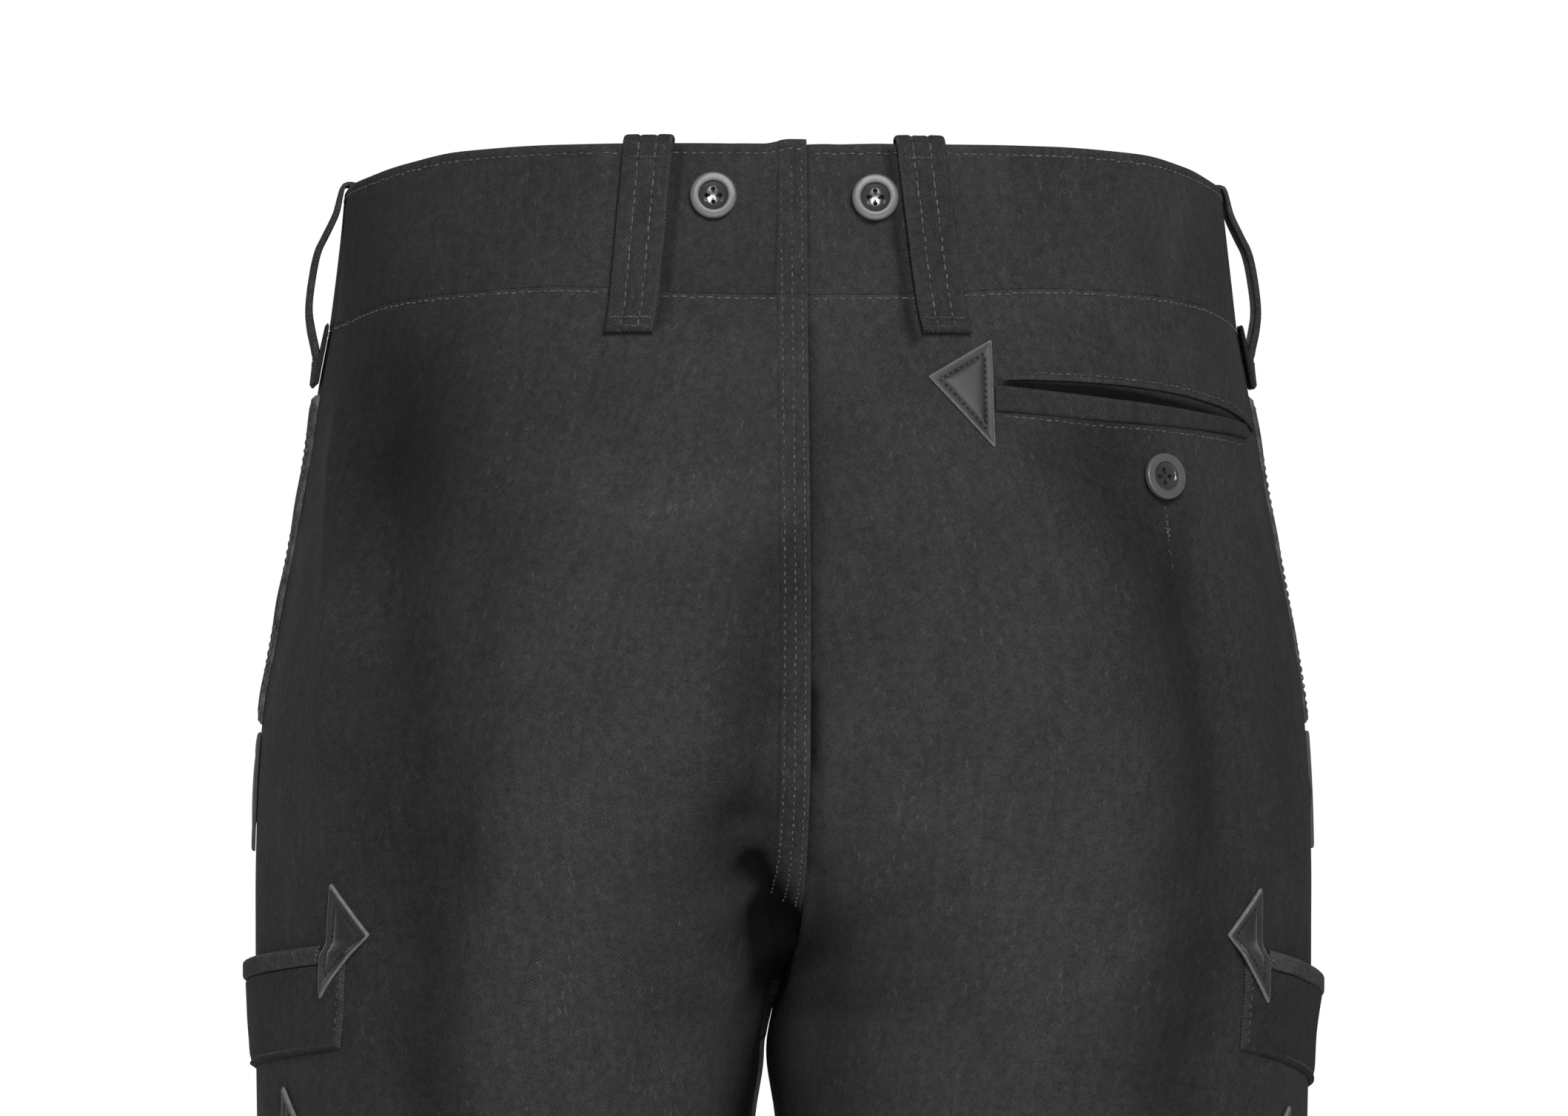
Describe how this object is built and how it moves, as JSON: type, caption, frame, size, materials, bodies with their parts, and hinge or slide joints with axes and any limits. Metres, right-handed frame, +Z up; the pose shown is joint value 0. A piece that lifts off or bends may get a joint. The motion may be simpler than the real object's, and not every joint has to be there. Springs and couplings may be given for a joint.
{
  "type": "work trousers",
  "caption": "Carpenter's work trousers in heavy charcoal twill, filled out and hollow, with a felled seat seam, brace buttons, belt loops, a back pocket and leather-cornered ruler pockets.",
  "frame": {"origin": "middle of the waist opening, level with the waistband's top edge at the centre back", "axes": "+Z up out of the waist, -Y to the wearer's front, +X to the wearer's left"},
  "size_m": [0.4049, 0.2608, 1.1271],
  "materials": {
    "cloth": "heavy charcoal twill, matt, with a fine diagonal rib and short lint",
    "leather": "smooth dark grey leather with a soft gloss and pale cut edges",
    "button": "glossy dark grey button with a lighter worn rim and a dark dish"
  },
  "bodies": {
    "root": {"back_left": "cloth", "back_right": "cloth", "front_left": "cloth", "front_right": "cloth", "waistband_left": "cloth", "waistband_right": "cloth", "belt_loop_back_left": "cloth", "belt_loop_back_right": "cloth", "belt_loop_side_left": "cloth", "belt_loop_side_right": "cloth", "belt_loop_front_left": "cloth", "belt_loop_front_right": "cloth", "back_pocket_welt": "cloth", "front_pocket_welt_left": "cloth", "front_pocket_welt_right": "cloth", "side_pocket_upper_left": "cloth", "side_pocket_strip_upper_left": "cloth", "side_pocket_upper_right": "cloth", "side_pocket_strip_upper_right": "cloth", "side_pocket_lower_left": "cloth", "side_pocket_strip_lower_left": "cloth", "side_pocket_lower_right": "cloth", "side_pocket_strip_lower_right": "cloth", "back_pocket_triangle": "leather", "front_pocket_corner_left": "leather", "front_pocket_corner_right": "leather", "side_pocket_corner_upper_left_back": "leather", "side_pocket_corner_upper_left_front": "leather", "side_pocket_corner_upper_right_back": "leather", "side_pocket_corner_upper_right_front": "leather", "side_pocket_corner_lower_left_back": "leather", "side_pocket_corner_lower_left_front": "leather", "side_pocket_corner_lower_right_back": "leather", "side_pocket_corner_lower_right_front": "leather", "brace_button_back_left": "button", "brace_button_back_right": "button", "brace_button_front_outer_left": "button", "brace_button_front_outer_right": "button", "brace_button_front_inner_left": "button", "brace_button_front_inner_right": "button", "back_pocket_button": "button", "waist_button": "button"}
  },
  "joints": []
}
